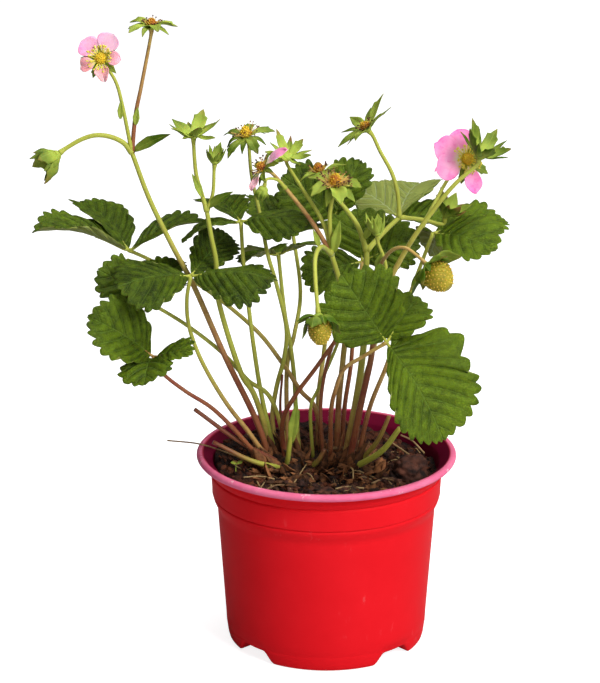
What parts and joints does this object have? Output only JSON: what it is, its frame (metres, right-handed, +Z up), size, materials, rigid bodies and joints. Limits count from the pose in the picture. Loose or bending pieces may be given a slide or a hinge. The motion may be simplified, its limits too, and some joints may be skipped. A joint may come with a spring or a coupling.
{
  "type": "potted strawberry plant",
  "caption": "Strawberry plant in a round red plastic nursery pot, with toothed leaves in threes, pink flowers, starry calyxes on long bare stalks and unripe berries.",
  "frame": {"origin": "middle of the pot's underside, on the surface that the pot stands on", "axes": "+Z up along the pot's axis; -Y is the front, the side that the picture shows; +X is to the right of someone who looks at the front, and the tall pair of blooms leans to -X"},
  "size_m": [0.2358, 0.1708, 0.3163],
  "materials": {
    "pot": "satin",
    "soil": "rough, crumbly peat",
    "bark": "rough",
    "stalk": "satin, finely hairy, reddish brown near the soil",
    "leaf": "satin, veined, with a paler underside",
    "sepal": "satin, downy",
    "petal": "soft, velvety",
    "stamen": "matte",
    "berry": "satin, with raised seeds"
  },
  "bodies": {
    "root": {"pot": "pot", "soil": "soil", "bark_lump": "bark", "bark_chip": "bark", "crown_and_stalks": "stalk", "calyx_back_left": "sepal", "calyx_berry_front": "sepal", "calyx_berry_right": "sepal", "calyx_centre_bud": "sepal", "calyx_centre_open": "sepal", "calyx_centre_pink": "sepal", "calyx_centre_rear": "sepal", "calyx_centre_star": "sepal", "calyx_left_bud": "sepal", "calyx_left_pink": "sepal", "calyx_left_star": "sepal", "calyx_left_tip": "sepal", "calyx_left_top": "sepal", "calyx_right_old": "sepal", "calyx_right_pink": "sepal", "calyx_right_star": "sepal", "calyx_right_tall": "sepal", "calyx_right_young": "sepal", "flower_centre_back_left": "stamen", "flower_centre_centre_open": "stamen", "flower_centre_centre_pink": "stamen", "flower_centre_centre_rear": "stamen", "flower_centre_left_pink": "stamen", "flower_centre_left_top": "stamen", "flower_centre_right_pink": "stamen", "flower_centre_right_tall": "stamen", "fruit_berry_front": "berry", "fruit_berry_right": "berry", "leaf_back_centre": "leaf", "leaf_back_left": "leaf", "leaf_back_right": "leaf", "leaf_centre_left": "leaf", "leaf_centre_right": "leaf", "leaf_centre_under": "leaf", "leaf_front_right": "leaf", "leaf_left_high": "leaf", "leaf_left_low": "leaf", "leaf_left_mid": "leaf", "leaf_left_rear": "leaf", "leaf_right": "leaf", "petals_centre_pink": "petal", "petals_left_pink": "petal", "petals_right_pink": "petal"}
  },
  "joints": []
}
